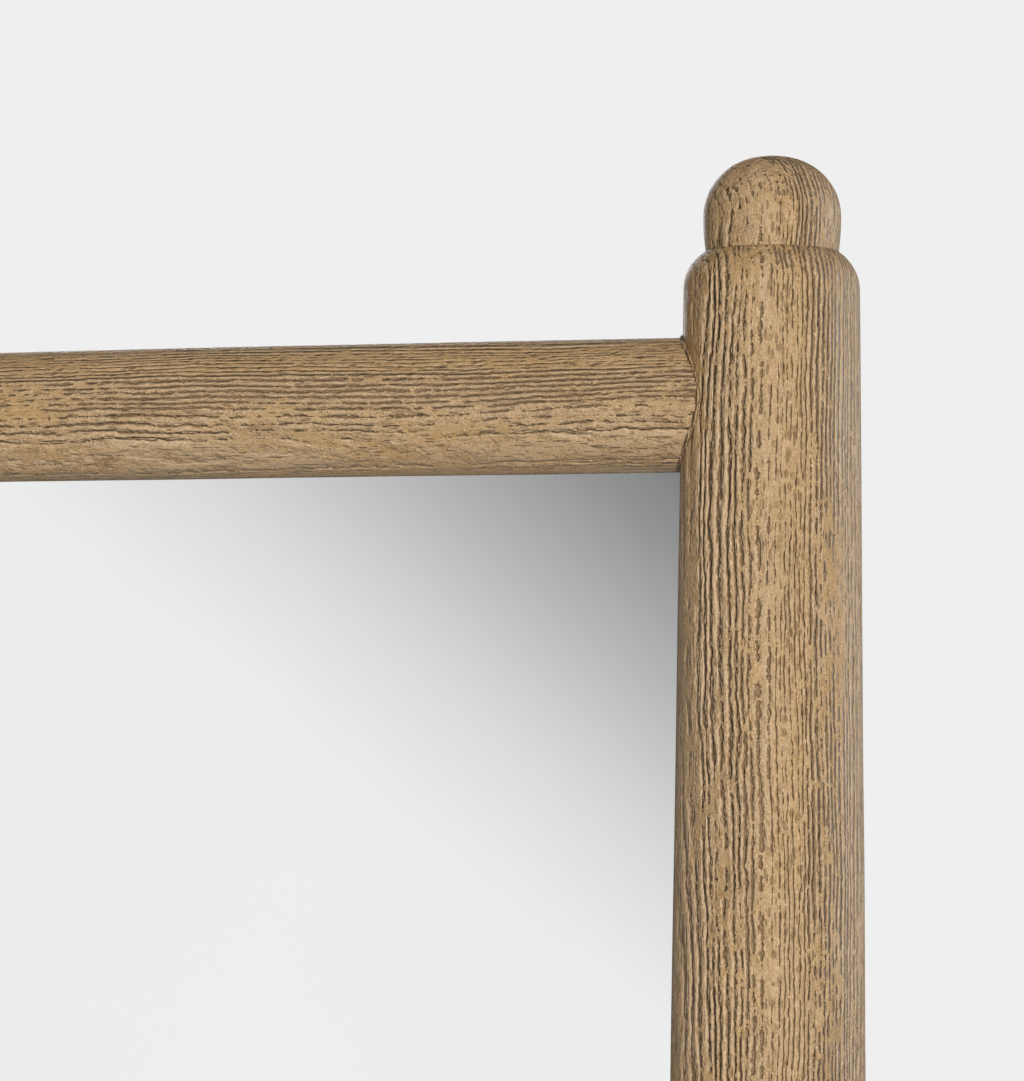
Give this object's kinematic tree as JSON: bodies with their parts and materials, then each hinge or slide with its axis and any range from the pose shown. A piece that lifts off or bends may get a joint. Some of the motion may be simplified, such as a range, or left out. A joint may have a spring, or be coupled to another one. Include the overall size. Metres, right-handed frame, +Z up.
{
  "type": "cheval floor mirror",
  "caption": "Tall wooden floor mirror whose turned frame tilts on two clamp knobs between the uprights of a trestle stand.",
  "frame": {"origin": "on the floor, under the middle of the mirror", "axes": "+Z up, the mirror faces -Y, +X to the right of the mirror's face seen from the front"},
  "size_m": [0.7678, 0.4922, 1.7823],
  "materials": {
    "turned_oak": "brushed and weathered, waxed",
    "glazing_bead": "planed, waxed",
    "mirror_glass": "polished, silvered behind",
    "backing_board": "hardboard, smooth face",
    "rubber": "matt",
    "brass": "aged, satin",
    "steel": "zinc plated, dull",
    "vulcanised_fibre": "matt",
    "felt": "pressed wool felt"
  },
  "bodies": {
    "stand": {"upright_left": "turned_oak", "upright_right": "turned_oak", "upright_finial_left": "turned_oak", "upright_finial_right": "turned_oak", "foot_left": "turned_oak", "foot_right": "turned_oak", "bun_foot_front_left": "turned_oak", "bun_foot_front_right": "turned_oak", "bun_foot_back_left": "turned_oak", "bun_foot_back_right": "turned_oak", "stretcher": "turned_oak", "pivot_bushing_left": "brass", "pivot_bushing_right": "brass", "upright_insert_left": "brass", "upright_insert_right": "brass", "foot_bolt_left": "steel", "foot_bolt_right": "steel", "foot_washer_left": "steel", "foot_washer_right": "steel", "stretcher_bolt_left": "steel", "stretcher_bolt_right": "steel", "barrel_nut_left": "steel", "barrel_nut_right": "steel", "fibre_washer_left": "vulcanised_fibre", "fibre_washer_right": "vulcanised_fibre", "felt_pads": "felt"},
    "mirror_frame": {"stile_left": "turned_oak", "stile_right": "turned_oak", "rail_top": "turned_oak", "rail_bottom": "turned_oak", "finial_top_left": "turned_oak", "finial_top_right": "turned_oak", "finial_bottom_left": "turned_oak", "finial_bottom_right": "turned_oak", "mirror_glass": "mirror_glass", "backing_board": "backing_board", "glass_setting_blocks": "rubber", "glazing_bead_screws": "brass", "glazing_bead_left": "glazing_bead", "glazing_bead_right": "glazing_bead", "glazing_bead_top": "glazing_bead", "glazing_bead_bottom": "glazing_bead", "pivot_insert_left": "brass", "pivot_insert_right": "brass", "pivot_stud_left": "steel", "pivot_stud_right": "steel", "spacer_collar_left": "brass", "spacer_collar_right": "brass"},
    "left_washer": {"clamp_washer_left": "brass"},
    "left_knob": {"knob_left": "turned_oak", "knob_insert_left": "brass"},
    "right_washer": {"clamp_washer_right": "brass"},
    "right_knob": {"knob_right": "turned_oak", "knob_insert_right": "brass"}
  },
  "joints": [
    {"name": "frame_tilt", "type": "hinge", "parent": "stand", "child": "mirror_frame", "pos_m": [0, 0, 1.011], "axis": [1, 0, 0], "range_deg": [-25, 25]},
    {"name": "left_knob_travel", "type": "slide", "parent": "mirror_frame", "child": "left_washer", "axis": [-1, 0, 0], "range_m": [0, 0.0025]},
    {"name": "left_knob_turn", "type": "hinge", "parent": "left_washer", "child": "left_knob", "pos_m": [-0.35, 0, 1.011], "axis": [-1, 0, 0], "range_deg": [0, 740]},
    {"name": "right_knob_travel", "type": "slide", "parent": "mirror_frame", "child": "right_washer", "axis": [1, 0, 0], "range_m": [0, 0.0025]},
    {"name": "right_knob_turn", "type": "hinge", "parent": "right_washer", "child": "right_knob", "pos_m": [0.35, 0, 1.011], "axis": [1, 0, 0], "range_deg": [0, 740]}
  ],
  "couplings": [
    {"joint": "left_knob_turn", "follows": "left_knob_travel", "rad_per_m": 5026.5},
    {"joint": "right_knob_turn", "follows": "right_knob_travel", "rad_per_m": 5026.5}
  ]
}
